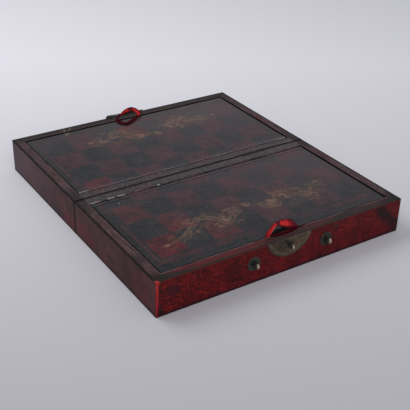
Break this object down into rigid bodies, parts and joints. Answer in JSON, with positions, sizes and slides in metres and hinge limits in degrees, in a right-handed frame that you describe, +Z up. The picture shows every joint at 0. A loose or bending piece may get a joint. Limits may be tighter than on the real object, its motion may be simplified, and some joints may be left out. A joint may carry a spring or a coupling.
{
  "type": "folding chess box",
  "caption": "Folding lacquered chess box of two hinged trays, with lift-up chequered board lids, ribbon pulls, half-moon lock plates and a hasp.",
  "frame": {"origin": "on the floor, under the middle of the seam between the two open halves", "axes": "+X along the seam, +Y from the front half with the lock eye to the back half, +Z up"},
  "size_m": [0.36, 0.4243, 0.0619],
  "materials": {
    "lacquer_red": "gloss red lacquer, worn",
    "lacquer_dark": "satin dark lacquer, worn",
    "board": "gloss lacquer, red and black squares",
    "bare_wood": "matte bare wood",
    "old_brass": "aged brass",
    "hinge_metal": "dull steel",
    "cloth": "lacquered cloth, cracked",
    "ribbon": "red satin"
  },
  "bodies": {
    "front_tray": {"front_floor": "lacquer_dark", "front_outer_wall": "lacquer_red", "front_seam_wall": "lacquer_dark", "front_left_wall": "lacquer_dark", "front_right_wall": "lacquer_dark", "front_outer_cleat": "bare_wood", "front_seam_cleat": "bare_wood", "front_left_cleat": "bare_wood", "front_right_cleat": "bare_wood", "front_wall_cloth": "cloth", "front_lock_plate": "old_brass", "front_plate_nail_left": "old_brass", "front_plate_nail_right": "old_brass", "left_rosette": "old_brass", "right_rosette": "old_brass", "left_handle_post": "old_brass", "right_handle_post": "old_brass", "left_hinge_front_leaf": "hinge_metal", "left_hinge_pin": "hinge_metal", "left_hinge_front_nails": "hinge_metal", "right_hinge_front_leaf": "hinge_metal", "right_hinge_pin": "hinge_metal", "right_hinge_front_nails": "hinge_metal"},
    "front_lid": {"front_lid_board": "board", "front_lid_cloth": "cloth", "front_ribbon": "ribbon", "front_ribbon_patch": "bare_wood"},
    "lock_eye": {"lock_eye": "old_brass"},
    "back_tray": {"back_floor": "lacquer_dark", "back_outer_wall": "lacquer_red", "back_seam_wall": "lacquer_dark", "back_left_wall": "lacquer_dark", "back_right_wall": "lacquer_dark", "back_outer_cleat": "bare_wood", "back_seam_cleat": "bare_wood", "back_left_cleat": "bare_wood", "back_right_cleat": "bare_wood", "back_wall_cloth": "cloth", "back_lock_plate": "old_brass", "back_plate_nail_left": "old_brass", "back_plate_nail_right": "old_brass", "hasp_staple": "old_brass", "left_hinge_back_leaf": "hinge_metal", "left_hinge_back_nails": "hinge_metal", "right_hinge_back_leaf": "hinge_metal", "right_hinge_back_nails": "hinge_metal"},
    "back_lid": {"back_lid_board": "board", "back_lid_cloth": "cloth", "back_ribbon": "ribbon", "back_ribbon_patch": "bare_wood"},
    "hasp": {"hasp": "old_brass"}
  },
  "joints": [
    {"name": "fold", "type": "hinge", "parent": "front_tray", "child": "back_tray", "pos_m": [0, 0, 0.0473], "axis": [1, 0, 0], "range_deg": [0, 180], "deforming": ["front_ribbon", "back_ribbon"]},
    {"name": "front_lid_lift", "type": "hinge", "parent": "front_tray", "child": "front_lid", "pos_m": [0, -0.0156, 0.0459], "axis": [1, 0, 0], "range_deg": [-90, 0]},
    {"name": "back_lid_lift", "type": "hinge", "parent": "back_tray", "child": "back_lid", "pos_m": [0, 0.0156, 0.0459], "axis": [-1, 0, 0], "range_deg": [-90, 0]},
    {"name": "lock_eye_turn", "type": "hinge", "parent": "front_tray", "child": "lock_eye", "pos_m": [0, -0.2046, 0.0375], "axis": [0, 1, 0], "range_deg": [0, 90]},
    {"name": "hasp_swing", "type": "hinge", "parent": "back_tray", "child": "hasp", "pos_m": [0, 0.2083, 0.035], "axis": [1, 0, 0], "range_deg": [0, 180]}
  ]
}
